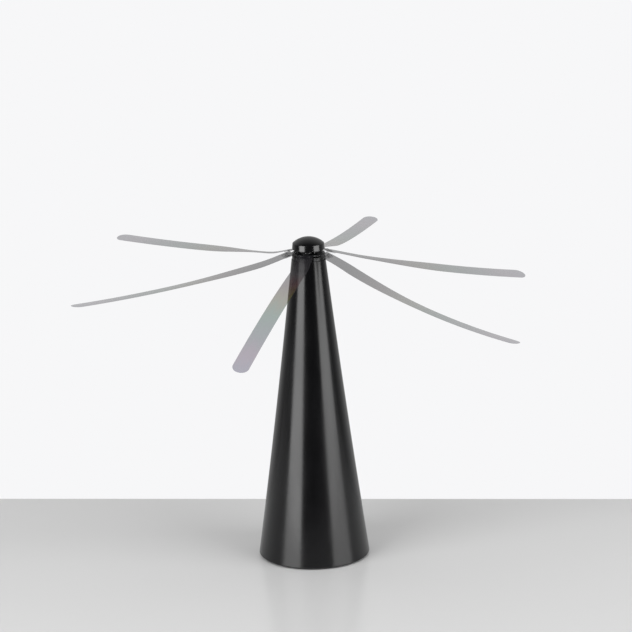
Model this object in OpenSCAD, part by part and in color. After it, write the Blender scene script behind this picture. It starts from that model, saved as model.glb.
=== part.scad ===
// Table fan that keeps flies off food: a hollow flared cone with two cells in
// its base and a small motor in its neck, which spins six soft film blades.
// The origin is the centre of the base on the surface it stands on, +Z is up.

/* [Cone] */
// Diameter of the cone at its lower rim
base_d = 90; // [84:1:110]
// Height of the cone from its lower rim to its shoulder
cone_h = 245.4; // [200:0.2:300]
// How far the side bows in from a straight line
flare = 0.9; // [0:0.1:2]
// Wall of the moulded cone
wall = 2.2; // [1.6:0.1:2.8]
// Height of the rim above the surface, which the rubber feet set
rim_lift = 1; // [0.6:0.1:2]
// Height of the collar that stands on the shoulder
collar_h = 3.2; // [2:0.1:6]

/* [Base] */
// Height of the base plate's underside above the surface
plate_lift = 2.2; // [1.8:0.1:4]
// Thickness of the base plate
plate_t = 2.4; // [2.2:0.1:4]
// Diameter of each rubber foot
foot_d = 10; // [6:0.5:12]
// Diameter of the screws that hold the base plate
base_screw_d = 2.4; // [2:0.1:3]
// Length of those screws under their heads
base_screw_len = 10; // [6:0.5:14]

/* [Cells] */
// Diameter of a cell
cell_d = 14.2; // [10:0.1:16]
// Length of a cell with its button
cell_len = 50.5; // [40:0.5:56]
// Length that each contact spring takes up
spring_len = 4; // [3:0.1:6]
// Wall of the box round the cells
box_wall = 1.2; // [1:0.1:2]

/* [Motor] */
// Width of the motor across its round sides
motor_w = 20.4; // [17:0.1:24]
// Thickness of the motor across its flat sides
motor_t = 15.4; // [12.8:0.1:16.5]
// Length of the motor without its bearing bosses
motor_len = 25; // [22:0.5:30]
// Diameter of the motor's shaft
shaft_d = 2; // [1.5:0.1:2.4]
// Wall of the cradle round the motor
cradle_wall = 1; // [0.8:0.1:1.6]

/* [Rotor] */
// Number of blades
blade_count = 6; // [2:1:6]
// Angle from +X to the first blade
first_blade = 20; // [0:1:59]
// Gap between the fixed collar and the spinning flange
rotor_gap = 1; // [0.4:0.1:2]
// Thickness of the rotor's lower flange
flange_t = 1.4; // [1.2:0.1:3]
// Height of the groove that the blades swing in
groove_h = 2.5; // [2.5:0.1:4]
// Height of the cap's side
cap_side_h = 4.7; // [4.5:0.1:12]
// Height of the dome on the cap
dome_h = 5; // [3:0.1:8]
// Wall of the cap
cap_wall = 1.6; // [1.2:0.1:1.8]

/* [Blades] */
// Length of each film outside the hub
film_len = 186; // [120:1:240]
// Width of each film
film_w = 13; // [10:0.5:14]
// Thickness of each film
film_t = 0.4; // [0.3:0.05:0.6]
// Diameter of the hinge pins
pin_d = 1; // [0.8:0.05:1.2]
// Thickness of the arm that holds a film
arm_t = 0.7; // [0.6:0.05:0.8]
// How far below level an arm rests on the flange, in degrees
rest_drop = 16; // [10:1:16]
// Slope of each film just past its arm, in degrees below level
inner_drop = [15, 12, 5, 10, 3, 21]; // [-10:1:40]
// Slope of each film at its tip, in degrees below level
tip_drop = [10, -6, -1, 1, 27, 9]; // [-10:1:40]
// How far each film's tip lies to the left of its root, seen along the film
side_bend = [15, -22, 11, 8, -20, 18]; // [-30:1:30]

/* [Hidden] */
$fn = 96;

black = [0.05, 0.05, 0.055];
grey = [0.35, 0.35, 0.37];
steel = [0.7, 0.71, 0.73];
copper = [0.72, 0.42, 0.25];
smoke = [0.55, 0.55, 0.58, 0.6];
// Small lengths that faces overlap by where one solid is cut or joined
eps = 0.01;
// Gap round a part that drops into another, and round one that slides
fit = 0.25;
// Gap round a shaft or pin that turns in its hole
run = 0.05;

// Cone
base_r = base_d / 2;
shoulder_r = motor_w / 2 + cradle_wall + 0.2 + wall;
rim_z = rim_lift;
shoulder_z = rim_z + cone_h;
collar_r = shoulder_r - 0.45;
collar_z = shoulder_z + collar_h;
spigot_r = shoulder_r - wall - 0.1;
spigot_h = 5.9;
cone_steps = 32;
function cone_r(z) = let (t = (z - rim_z) / cone_h)
    base_r + (shoulder_r - base_r) * t - 4 * flare * t * (1 - t);

// Base plate, its screws and its feet
plate_z = plate_lift;
plate_top = plate_z + plate_t;
plate_r = cone_r(plate_top) - wall - fit;
base_screw_angles = [90, 210, 330];
screw_head_r = base_screw_d / 2 + 1.4;
screw_head_t = 1.1;
cross_len = 3;
cross_w = 0.6;
cross_depth = 0.7;
boss_rib = 2.4;
screw_ring_r = plate_r - screw_head_r - 2.6;
boss_r = base_screw_d / 2 + 2.2;
boss_h = base_screw_len + 3;
foot_angles = [30, 150, 270];
foot_ring_r = plate_r - foot_d / 2 - 3.6;
foot_seat = 0.4;

// Battery box, door and contacts
cell_gap = 0.4;
cell_x = cell_d / 2 + cell_gap / 2;
box_in_x = 2 * cell_d + 3 * cell_gap;
box_in_y = cell_d + 2 * cell_gap;
contact_t = 0.4;
door_t = 1.2;
door_lip = 2.2;
bridge_z = plate_top;
cells_z = bridge_z + contact_t;
contact_z = cells_z + cell_len + spring_len;
box_top = contact_z + contact_t;
button_h = 1.3;
button_r = 2.75;
contact_size = [9, 10];
tab_w = 2.4;
tab_h = 4.5;
slot_gap = 0.1;
grip_w = 0.8;
grip_pitch = 1.8;
grip_len = 4;
grip_depth = 0.4;
door_play = 0.05;
spring_r = 3.6;
spring_wire = 0.7;
spring_turns = 3;
spring_play = 0.3;

// Switch
switch_y = -(box_in_y / 2 + box_wall + 9);
switch_size = [8.6, 5, 4.2];
switch_wall = 0.8;
switch_room = 2.6;
carrier_lip = 0.4;
carrier_h = 1.8;
carrier_gap = 0.2;
pin_pitch = 2.5;
pin_size = [0.8, 0.4, 3];
knob = [2.4, 1.6];
switch_travel = 2;
knob_z = 1.2;

// Motor
motor_top = shoulder_z - spigot_h;
motor_z = motor_top - motor_len;
cap_len = 3.4;
can_wall = 0.6;
boss_len = 1.6;
motor_boss_r = 3.1;
magnet_t = 2;
magnet_h = 14;
magnet_inset = 2.2;
magnet_z = motor_z + 7;
terminal = [2.2, 0.4, 8];
leaf = [2.4, 0.3, 5.6];
leaf_gap = 0.08;
air_gap = 0.35;
shaft_r = shaft_d / 2;
core_r = min(motor_w / 2 - magnet_t, motor_t / 2) - can_wall - air_gap;
core_z = motor_z + 9;
core_h = 10;
commutator_r = 2.3;
cradle_floor = 2;
post_r = 1.6;
cradle_screw_r = 0.8;
cradle_screw_head = 1.3;
cradle_screw_y = motor_t / 2 + cradle_wall + cradle_screw_head + 0.05;
post_h = 7;
bite = 3.6;
terminal_x = 6;

// Rotor
flange_r = collar_r - 0.1;
flange_z = collar_z + rotor_gap;
flange_top = flange_z + flange_t;
cap_r = flange_r - 0.05;
cap_z = flange_top + groove_h;
cap_draft = 0.35;
cap_top = cap_z + cap_side_h;
edge_round = 0.7;
stem_r = 3.2;
stem_z = motor_top + boss_len + 1;
stem_bore_r = 4;
pivot_r = flange_r - 3.65;
pivot_z = flange_top + groove_h / 2;
hub_core_r = pivot_r - 2.4;
hub_core_top = cap_z + 0.4;
cap_boss_r = 4.8;
cap_boss_h = 4;
cap_tube = 1.4;
barrel_r = groove_h / 2 - 0.1;
barrel_w = 6;
ear_t = 1.2;
ear_gap = 0.1;
pin_len = barrel_w + 2 * (ear_gap + ear_t);
arm_w = 5.4;
film_r0 = cap_r + 0.6;
arm_in = (film_r0 - pivot_r) / cos(rest_drop);
tab_len = 8;
tab_margin = 1;
peg_r = 0.8;
peg_head_r = 1.3;
peg_head_t = 0.3;
peg_y = film_w / 2 - 3;
straight_len = tab_len + 5;
bend_len = 17;
free_s = straight_len + bend_len;
film_steps = 30;
plan_steps = 20;

function az(k) = first_blade + (k - 1) * 360 / blade_count;
function pick(list, k) = list[(k - 1) % len(list)];
function mix(a, b, t) = a + (b - a) * t;
function drop(k, s) =
    s < straight_len ? rest_drop
    : s < free_s ? mix(rest_drop, pick(inner_drop, k), (s - straight_len) / bend_len)
    : mix(pick(inner_drop, k), pick(tip_drop, k), (s - free_s) / (film_len - free_s));
function film_line(k, ds, i, p) = i == film_steps ? [p]
    : let (a = drop(k, (i + 0.5) * ds))
      concat([p], film_line(k, ds, i + 1, p + ds * [cos(a), -sin(a)]));

// Points beside a line in plan, and the same points from last to first
function beside(p, gap) = [for (i = [0 : len(p) - 1])
    let (t = i == 0 ? [1, 0] : unit(p[min(i + 1, len(p) - 1)] - p[i - 1])) p[i] + gap * [-t[1], t[0]]];
function reversed(p) = [for (i = [len(p) - 1 : -1 : 0]) p[i]];

// Wires, as points chosen by hand round the cells and up the cone
wire_d = 1.3;
red_route = [[-2.5, -17.2, 10.5], [-2.5, -17.2, 16], [-5, -18, 30], [-7, -18, 60], [-8, -14, 100],
             [-8, -9, 140], [-7, -4, 175], [-6, 0, 195], [-6, 0, 209]];
black_route = [[7.3, 0, 62.5], [7.3, 0, 70], [9, 2, 90], [9, 4, 130],
               [7, 3, 170], [6, 0, 195], [6, 0, 209]];
switch_route = [[-7.3, 0, 62.5], [-7.3, 0, 68], [-5, -4, 73], [-1, -9, 72], [1, -13, 62], [1, -17, 40],
                [0, -17.2, 20], [0, -17.2, 10.5]];

function unit(v) = v / norm(v);
function tangent(p, i) = unit(p[min(i + 1, len(p) - 1)] - p[max(i - 1, 0)]);
function side_of(t) = unit(cross(t, abs(t[2]) > 0.9 ? [1, 0, 0] : [0, 0, 1]));
function carried(s, t) = unit(s - (s * t) * t);
function sides(p, i, s) = i == len(p) ? []
    : let (now = carried(s, tangent(p, i))) concat([now], sides(p, i + 1, now));
function eased(a, b, c, d, t) = b + t / 2 * (c - a)
    + t * t / 2 * (2 * a - 5 * b + 4 * c - d)
    + t * t * t / 2 * (3 * b - a - 3 * c + d);
function spline(p, n) = [for (i = [0 : len(p) - 2]) for (j = [0 : n - 1])
    eased(p[max(i - 1, 0)], p[i], p[i + 1], p[min(i + 2, len(p) - 1)], j / n)];

// A round tube along a line of points
module tube(p, d, n = 8) {
    s = sides(p, 0, side_of(tangent(p, 0)));
    rings = [for (i = [0 : len(p) - 1]) for (j = [0 : n - 1])
        p[i] + d / 2 * (cos(360 * j / n) * s[i] + sin(360 * j / n) * cross(tangent(p, i), s[i]))];
    last = (len(p) - 1) * n;
    walls = [for (i = [0 : len(p) - 2]) for (j = [0 : n - 1])
        [i * n + j, i * n + (j + 1) % n, (i + 1) * n + (j + 1) % n, (i + 1) * n + j]];
    ends = [[for (j = [n - 1 : -1 : 0]) j], [for (j = [0 : n - 1]) last + j]];
    polyhedron(rings, concat(ends, walls));
}

module wire(route) {
    tube(concat(spline(route, 5), [route[len(route) - 1]]), wire_d);
}

module coil(z) {
    steps = 12;
    rise = (spring_len - spring_play - spring_wire) / (spring_turns * steps);
    translate([0, 0, z + spring_wire / 2]) tube([for (i = [0 : spring_turns * steps])
        [spring_r * cos(360 * i / steps), spring_r * sin(360 * i / steps), i * rise]], spring_wire, 6);
}

// Places its child at an angle and a distance from the axis
module at(angle, r) {
    rotate([0, 0, angle]) translate([r, 0, 0]) children();
}

// Points down the cone's side, drawn in by an inset
function cone_side(inset) = [for (i = [cone_steps : -1 : 0])
    let (z = rim_z + cone_h * i / cone_steps) [cone_r(z) - inset, z]];

module cone_form(inset) {
    rotate_extrude() polygon(concat(
        [[0, rim_z], [0, shoulder_z]],
        cone_side(inset)));
}

module cone_shell() {
    color(black) difference() {
        union() {
            difference() {
                cone_form(0);
                cone_hollow();
            }
            intersection() {
                cone_form(wall / 2);
                for (a = base_screw_angles) at(a, screw_ring_r) translate([0, 0, plate_top]) {
                    cylinder(r = boss_r, h = boss_h);
                    translate([0, -boss_rib / 2, 0]) cube([base_r - screw_ring_r, boss_rib, boss_h]);
                }
            }
        }
        for (a = base_screw_angles) at(a, screw_ring_r) translate([0, 0, plate_top - eps])
            cylinder(r = base_screw_d / 2, h = base_screw_len + 1);
    }
}

module cone_hollow() {
    rotate_extrude() polygon(concat(
        [[0, rim_z - 1], [0, shoulder_z + 1], [shoulder_r - wall, shoulder_z + 1]],
        cone_side(wall),
        [[base_r - wall, rim_z - 1]]));
}

module neck_cap() {
    color(black) difference() {
        union() {
            translate([0, 0, shoulder_z]) cylinder(r = collar_r, h = collar_h);
            translate([0, 0, motor_top]) cylinder(r = spigot_r, h = spigot_h + eps);
        }
        translate([0, 0, motor_top - eps]) cylinder(r = motor_boss_r + run, h = boss_len + 0.2);
        translate([0, 0, motor_top + boss_len]) cylinder(r = stem_bore_r, h = spigot_h + collar_h);
        for (side = [-1, 1]) translate([0, side * cradle_screw_y, motor_top - eps])
            cylinder(r = cradle_screw_r, h = bite + 0.4);
    }
}

module base_plate() {
    color(black) difference() {
        translate([0, 0, plate_z]) cylinder(r = plate_r, h = plate_t);
        for (a = base_screw_angles) at(a, screw_ring_r) {
            translate([0, 0, plate_z - eps]) cylinder(r = base_screw_d / 2 + 0.2, h = plate_t + 1);
            translate([0, 0, plate_z - eps]) cylinder(r = screw_head_r + fit, h = screw_head_t + eps);
        }
        for (a = foot_angles) at(a, foot_ring_r)
            translate([0, 0, plate_z - eps]) cylinder(d = foot_d + 2 * fit, h = foot_seat + eps);
        translate([-box_in_x / 2, -box_in_y / 2, plate_z - 1]) cube([box_in_x, box_in_y, plate_t + 2]);
        translate([-box_in_x / 2 - door_lip, -box_in_y / 2 - door_lip, plate_z - 1])
            cube([box_in_x + 2 * door_lip, box_in_y + 2 * door_lip, 1 + door_t]);
        translate([-switch_travel / 2 - knob[0] / 2 - fit, switch_y - knob[1] / 2 - fit, plate_z - 1])
            cube([knob[0] + switch_travel + 2 * fit, knob[1] + 2 * fit, plate_t + 2]);
    }
}

module base_screws() {
    color(steel) for (a = base_screw_angles) at(a, screw_ring_r) difference() {
        union() {
            translate([0, 0, plate_z]) cylinder(r = screw_head_r, h = screw_head_t);
            translate([0, 0, plate_z]) cylinder(d = base_screw_d, h = screw_head_t + base_screw_len);
        }
        for (turn = [0, 90]) rotate([0, 0, turn])
            translate([-cross_len / 2, -cross_w / 2, plate_z - 1])
                cube([cross_len, cross_w, 1 + cross_depth]);
    }
}

module rubber_feet() {
    color(grey) for (a = foot_angles) at(a, foot_ring_r)
        cylinder(d = foot_d, h = plate_z + foot_seat);
}

module battery_box() {
    color(black) difference() {
        translate([-box_in_x / 2 - box_wall, -box_in_y / 2 - box_wall, plate_top])
            cube([box_in_x + 2 * box_wall, box_in_y + 2 * box_wall, box_top + box_wall - plate_top]);
        translate([-box_in_x / 2, -box_in_y / 2, plate_top - 1])
            cube([box_in_x, box_in_y, box_top - plate_top + 1]);
        for (side = [-1, 1])
            translate([side * cell_x - tab_w / 2 - slot_gap, -contact_t / 2 - slot_gap, box_top - 1])
                cube([tab_w + 2 * slot_gap, contact_t + 2 * slot_gap, box_wall + 2]);
    }
}

// A cell with its button at the top
module cell() {
    cylinder(d = cell_d, h = cell_len - button_h);
    cylinder(r = button_r, h = cell_len);
}

module battery_1() {
    color([0.16, 0.3, 0.2]) translate([-cell_x, 0, cells_z + spring_len]) cell();
}

module battery_2() {
    color([0.16, 0.3, 0.2]) translate([cell_x, 0, cells_z + cell_len]) mirror([0, 0, 1]) cell();
}

// A flat contact with a solder tab that stands up through the box
module contact() {
    translate([-contact_size[0] / 2, -contact_size[1] / 2, 0])
        cube([contact_size[0], contact_size[1], contact_t]);
    translate([-tab_w / 2, -contact_t / 2, 0]) cube([tab_w, contact_t, tab_h]);
}

module contact_positive() {
    color(steel) translate([-cell_x, 0, contact_z]) contact();
}

module contact_negative() {
    color(steel) translate([cell_x, 0, contact_z]) contact();
}

module spring_upper() {
    color(steel) translate([cell_x, 0, 0]) coil(contact_z - spring_len + spring_play);
}

module spring_lower() {
    color(steel) translate([-cell_x, 0, 0]) coil(cells_z);
}

module battery_door() {
    lip = door_lip - fit;
    color(black) difference() {
        union() {
            translate([-box_in_x / 2 - lip, -box_in_y / 2 - lip, plate_z])
                cube([box_in_x + 2 * lip, box_in_y + 2 * lip, door_t - door_play]);
            translate([-box_in_x / 2 + fit, -box_in_y / 2 + fit, plate_z])
                cube([box_in_x - 2 * fit, box_in_y - 2 * fit, plate_t]);
        }
        for (i = [-2 : 2]) translate([i * grip_pitch - grip_w / 2, box_in_y / 2 - grip_len, plate_z - 1])
            cube([grip_w, grip_len + 1, 1 + grip_depth]);
    }
}

module door_bridge() {
    color(steel) translate([-cell_x - contact_size[0] / 2, -contact_size[1] / 2, bridge_z])
        cube([2 * cell_x + contact_size[0], contact_size[1], contact_t]);
}

module switch_body() {
    inner = [switch_size[0] - 2 * switch_wall, switch_size[1] - 2 * switch_wall, 1 + switch_room];
    color(steel) difference() {
        translate([-switch_size[0] / 2, switch_y - switch_size[1] / 2, plate_top]) cube(switch_size);
        translate([-inner[0] / 2, switch_y - inner[1] / 2, plate_top - 1]) cube(inner);
    }
}

module switch_slider() {
    color([0.9, 0.9, 0.88]) translate([-switch_travel / 2, switch_y, 0]) {
        translate([-knob[0] / 2, -knob[1] / 2, knob_z]) cube([knob[0], knob[1], plate_top - knob_z + 1]);
        translate([-knob[0] / 2 - carrier_lip, -knob[1] / 2 - carrier_lip, plate_top + carrier_gap])
            cube([knob[0] + 2 * carrier_lip, knob[1] + 2 * carrier_lip, carrier_h]);
    }
}

module switch_pins() {
    color(steel) for (i = [-1 : 1])
        translate([i * pin_pitch - pin_size[0] / 2, switch_y - pin_size[1] / 2, plate_top + switch_size[2]])
            cube(pin_size);
}

// The motor's outline: a circle with two flats
module motor_outline(grow, h) {
    intersection() {
        cylinder(r = motor_w / 2 + grow, h = h);
        translate([-motor_w, -motor_t / 2 - grow, 0]) cube([2 * motor_w, motor_t + 2 * grow, h]);
    }
}

module motor_cradle() {
    color(black) difference() {
        union() {
            translate([0, 0, motor_z - cradle_floor])
                motor_outline(cradle_wall, motor_len + cradle_floor);
            for (side = [-1, 1]) translate([0, side * cradle_screw_y, motor_top - post_h])
                cylinder(r = post_r, h = post_h);
        }
        translate([0, 0, motor_z]) motor_outline(0, motor_len + 1);
        translate([0, 0, motor_z - cradle_floor - 1]) cylinder(r = terminal_x + 2, h = cradle_floor + 2);
        for (side = [-1, 1]) translate([0, side * cradle_screw_y, motor_top - post_h - 1])
            cylinder(r = cradle_screw_r + 0.1, h = post_h + 2);
    }
}

module cradle_screws() {
    color(steel) for (side = [-1, 1])
        translate([0, side * cradle_screw_y, motor_top - post_h - 1.2]) difference() {
            union() {
                cylinder(r = cradle_screw_head, h = 1.2);
                cylinder(r = cradle_screw_r, h = 1.2 + post_h + bite);
            }
            translate([-2, -0.25, -1]) cube([4, 0.5, 1.5]);
        }
}

module motor_can() {
    color(steel) difference() {
        union() {
            translate([0, 0, motor_z + cap_len]) motor_outline(0, motor_len - cap_len);
            translate([0, 0, motor_top - eps]) cylinder(r = motor_boss_r, h = boss_len + eps);
        }
        translate([0, 0, motor_z + cap_len - 1])
            motor_outline(-can_wall, motor_len - cap_len + 1 - can_wall);
        translate([0, 0, motor_top - 5]) cylinder(r = shaft_r + run, h = 10);
    }
}

module motor_end_cap() {
    color([0.9, 0.9, 0.88]) difference() {
        union() {
            translate([0, 0, motor_z]) motor_outline(0, cap_len);
            translate([0, 0, motor_z - boss_len]) cylinder(r = motor_boss_r, h = boss_len + eps);
        }
        translate([0, 0, motor_z + 1.2]) motor_outline(-1.4, cap_len);
        translate([0, 0, motor_z - 5]) cylinder(r = shaft_r + run, h = 10);
        for (side = [-1, 1]) translate([side * terminal_x - terminal[0] / 2, -terminal[1] / 2, motor_z - 1])
            cube([terminal[0], terminal[1], 3]);
    }
}

module motor_terminals() {
    color([0.8, 0.65, 0.3]) for (side = [-1, 1])
        translate([side * terminal_x - terminal[0] / 2, -terminal[1] / 2, motor_z - 6]) cube(terminal);
}

// Copper leaves that rub on the commutator
module motor_brushes() {
    color(copper) for (side = [-1, 1])
        translate([-leaf[0] / 2, side * (commutator_r + leaf_gap) - (side < 0 ? leaf[1] : 0), 0])
            translate([0, 0, motor_z + 1.2]) cube(leaf);
}

module motor_magnets() {
    color([0.25, 0.24, 0.25]) difference() {
        intersection() {
            translate([0, 0, magnet_z]) cylinder(r = motor_w / 2 - can_wall, h = magnet_h);
            translate([-motor_w, -motor_t / 2 + magnet_inset, 0])
                cube([2 * motor_w, motor_t - 2 * magnet_inset, 2 * motor_top]);
        }
        translate([0, 0, motor_z]) cylinder(r = motor_w / 2 - can_wall - magnet_t, h = motor_len);
    }
}

module motor_shaft() {
    color(steel) translate([0, 0, motor_z - boss_len + 0.4])
        cylinder(r = shaft_r, h = cap_z - 0.6 - motor_z + boss_len);
}

// One pole's arm, out to its shoe
module pole_arm(w, h, out) {
    translate([0, -w / 2, 0]) cube([out, w, h]);
}

module armature_core() {
    color(grey) difference() {
        union() {
            translate([0, 0, core_z]) cylinder(r = 2.2, h = core_h);
            for (a = [30 : 120 : 270]) rotate([0, 0, a]) {
                translate([0, 0, core_z]) pole_arm(2, core_h, core_r - 0.5);
                intersection() {
                    translate([0, 0, core_z]) difference() {
                        cylinder(r = core_r, h = core_h);
                        translate([0, 0, -1]) cylinder(r = core_r - 1, h = core_h + 2);
                    }
                    linear_extrude(2 * motor_top)
                        polygon([[0, 0], [core_r, -core_r], [2 * core_r, 0], [core_r, core_r]]);
                }
            }
        }
        translate([0, 0, core_z - 1]) cylinder(r = shaft_r, h = core_h + 2);
    }
}

module armature_windings() {
    color(copper) for (a = [30 : 120 : 270]) rotate([0, 0, a]) difference() {
        translate([2.8, -1.9, core_z - 1]) cube([core_r - 4, 3.8, core_h + 2]);
        translate([0, 0, core_z - eps]) pole_arm(2, core_h + 2 * eps, core_r);
    }
}

module commutator() {
    color(copper) translate([0, 0, motor_z + 2.6]) difference() {
        cylinder(r = commutator_r, h = 4.6);
        translate([0, 0, -1]) cylinder(r = shaft_r, h = 8);
        for (a = [0, 120, 240]) rotate([0, 0, a])
            translate([shaft_r + 0.4, -0.15, -1]) cube([3, 0.3, 4]);
    }
}

module wire_red() {
    color([0.75, 0.08, 0.06]) wire(red_route);
}

module wire_black() {
    color(black) wire(black_route);
}

module wire_switch() {
    color([0.75, 0.08, 0.06]) wire(switch_route);
}

// One of the two ears that hold a hinge pin
module ear(side) {
    y = side * (barrel_w / 2 + ear_gap + ear_t / 2);
    translate([pivot_r - barrel_r, y - ear_t / 2, flange_top - eps])
        cube([2 * barrel_r, ear_t, pivot_z + barrel_r - flange_top]);
}

module pin_line(r, len) {
    translate([pivot_r, 0, pivot_z]) rotate([90, 0, 0])
        cylinder(r = r, h = len, center = true, $fn = 32);
}

module rotor_hub() {
    color(black) difference() {
        union() {
            rotate_extrude() polygon([
                [0, stem_z], [stem_r, stem_z], [stem_r, flange_z], [flange_r, flange_z],
                [flange_r, flange_top - 0.5], [flange_r - 0.8, flange_top], [hub_core_r, flange_top],
                [hub_core_r, hub_core_top], [cap_boss_r, hub_core_top],
                [cap_boss_r, hub_core_top + cap_boss_h], [0, hub_core_top + cap_boss_h]]);
            for (k = [1 : blade_count]) rotate([0, 0, az(k)]) {
                ear(-1);
                ear(1);
            }
        }
        translate([0, 0, stem_z - 1]) cylinder(r = shaft_r, h = cap_z - stem_z + 1);
        for (k = [1 : blade_count]) rotate([0, 0, az(k)]) pin_line(pin_d / 2, pin_len);
    }
}

module blade_pins() {
    color(steel) for (k = [1 : blade_count]) rotate([0, 0, az(k)]) pin_line(pin_d / 2, pin_len);
}

// Points of an arc, as [radius from the axis, height]
function arc(c, r, from, to, n) = [for (i = [0 : n]) let (a = from + (to - from) * i / n)
    c + r * [cos(a), sin(a)]];

module dome_cap() {
    top_r = cap_r - cap_draft;
    dome_r = (top_r * top_r + dome_h * dome_h) / (2 * dome_h);
    dome_c = [0, cap_top + dome_h - dome_r];
    edge = asin((top_r - edge_round / 2) / dome_r);
    inner_dome = dome_r - cap_wall;
    inner_edge = asin((top_r - cap_wall) / inner_dome);
    tube_in = asin(cap_boss_r / inner_dome);
    tube_out = asin((cap_boss_r + cap_tube) / inner_dome);
    color(black) rotate_extrude() polygon(concat(
        [[cap_r - cap_wall, cap_z], [cap_r, cap_z]],
        arc([top_r - edge_round, cap_top - edge_round], edge_round, 0, 45, 4),
        arc(dome_c, dome_r, 90 - edge, 90, 16),
        arc(dome_c, inner_dome, 90, 90 - tube_in, 4),
        [[cap_boss_r, hub_core_top + cap_boss_h], [cap_boss_r, hub_core_top]],
        [[cap_boss_r + cap_tube, hub_core_top]],
        arc(dome_c, inner_dome, 90 - tube_out, 90 - inner_edge, 6)));
}

// Places its children on a blade's hinge, with +X out along the arm
module on_arm(k) {
    rotate([0, 0, az(k)]) translate([pivot_r, 0, pivot_z]) rotate([0, rest_drop, 0]) children();
}

module pegs(r, z, h) {
    for (side = [-1, 1]) translate([arm_in + tab_len / 2, side * peg_y, z])
        cylinder(r = r, h = h, $fn = 32);
}

module blade_root(k) {
    tab_across = film_w - 2 * tab_margin;
    color(smoke) on_arm(k) difference() {
        union() {
            rotate([90, 0, 0]) cylinder(r = barrel_r, h = barrel_w, center = true, $fn = 48);
            translate([0, -arm_w / 2, -arm_t / 2]) cube([arm_in + tab_len / 2, arm_w, arm_t]);
            translate([arm_in + tab_margin, -tab_across / 2, -arm_t / 2])
                cube([tab_len - tab_margin, tab_across, arm_t]);
            pegs(peg_r, 0, arm_t / 2 + film_t + peg_head_t);
            pegs(peg_head_r, arm_t / 2 + film_t, peg_head_t);
        }
        rotate([90, 0, 0]) cylinder(r = pin_d / 2 + run, h = barrel_w + 2, center = true, $fn = 32);
    }
}

module blade_film(k) {
    ds = film_len / film_steps;
    lift = arm_t / 2 + film_t / 2;
    start = [pivot_r + arm_in * cos(rest_drop) + lift * sin(rest_drop),
             pivot_z - arm_in * sin(rest_drop) + lift * cos(rest_drop)];
    line = film_line(k, ds, 0, start);
    from = line[ceil(straight_len / ds)][0];
    reach = line[film_steps][0];
    tip_x = reach - film_w / 2;
    side = [for (i = [0 : plan_steps]) let (x = mix(from, tip_x, i / plan_steps))
        [x, pick(side_bend, k) * pow((x - from) / (reach - from), 2)]];
    normals = [for (i = [0 : film_steps]) let (a = drop(k, i * ds)) film_t / 2 * [sin(a), cos(a)]];
    color(smoke) difference() {
        rotate([0, 0, az(k)]) intersection() {
            rotate([90, 0, 0]) linear_extrude(film_len, center = true) polygon(concat(
                [for (i = [0 : film_steps]) line[i] + normals[i]],
                [for (i = [film_steps : -1 : 0]) line[i] - normals[i]]));
            linear_extrude(2 * cap_top) union() {
                polygon(concat(
                    [[0, -film_w / 2]], beside(side, -film_w / 2), reversed(beside(side, film_w / 2)),
                    [[0, film_w / 2]]));
                translate(side[plan_steps]) circle(d = film_w);
            }
        }
        on_arm(k) pegs(peg_r + run, -1, 4);
    }
}

cone_shell();
neck_cap();
base_plate();
base_screws();
rubber_feet();
battery_box();
battery_1();
battery_2();
contact_positive();
contact_negative();
spring_upper();
battery_door();
door_bridge();
spring_lower();
switch_body();
switch_slider();
switch_pins();
motor_cradle();
cradle_screws();
motor_can();
motor_end_cap();
motor_terminals();
motor_magnets();
motor_brushes();
motor_shaft();
armature_core();
armature_windings();
commutator();
wire_red();
wire_black();
wire_switch();
rotor_hub();
dome_cap();
blade_pins();
for (k = [1 : blade_count]) {
    blade_root(k);
    blade_film(k);
}
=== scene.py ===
import math

import bmesh
import bpy
import numpy as np
from mathutils import Euler, Matrix, Vector


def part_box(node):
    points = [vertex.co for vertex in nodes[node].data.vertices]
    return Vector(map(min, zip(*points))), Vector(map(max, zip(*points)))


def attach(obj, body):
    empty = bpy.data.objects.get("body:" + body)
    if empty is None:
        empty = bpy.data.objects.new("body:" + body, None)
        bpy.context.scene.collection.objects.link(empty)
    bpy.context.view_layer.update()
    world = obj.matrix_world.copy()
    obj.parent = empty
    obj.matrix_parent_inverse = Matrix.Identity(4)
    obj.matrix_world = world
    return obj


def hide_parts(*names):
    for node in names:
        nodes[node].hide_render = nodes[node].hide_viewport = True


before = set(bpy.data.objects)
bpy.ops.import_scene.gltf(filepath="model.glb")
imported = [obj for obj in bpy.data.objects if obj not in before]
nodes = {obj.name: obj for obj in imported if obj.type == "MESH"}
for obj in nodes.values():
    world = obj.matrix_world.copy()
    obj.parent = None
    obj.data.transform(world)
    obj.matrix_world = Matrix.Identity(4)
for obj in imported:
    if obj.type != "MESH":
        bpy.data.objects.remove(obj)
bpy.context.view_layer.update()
MM = 0.001

# ---------------------------------------------------------------- camera
# A long lens about two metres off looks down on the fan. The camera is
# tipped slightly about its own axis, so the fan leans a little to the left.
camera_distance = 2.1
camera_aside = 0.005
base_elevation = math.radians(19.6)
camera_pitch = math.radians(14.644)
camera_roll = math.radians(1.13)
lens_length = 154.6
film_gate = 36.0

camera_data = bpy.data.cameras.new("camera")
camera_data.lens = lens_length
camera_data.sensor_width = film_gate
camera_data.clip_end = 50.0
camera = bpy.data.objects.new("camera", camera_data)
bpy.context.scene.collection.objects.link(camera)
camera.location = (camera_aside, -camera_distance, camera_distance * math.tan(base_elevation))
look = Euler((math.pi / 2 - camera_pitch, 0.0, 0.0)).to_matrix().to_4x4()
camera.rotation_euler = (look @ Matrix.Rotation(-camera_roll, 4, "Z")).to_euler()
bpy.context.scene.camera = camera
bpy.context.scene.view_settings.view_transform = "Standard"


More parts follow.
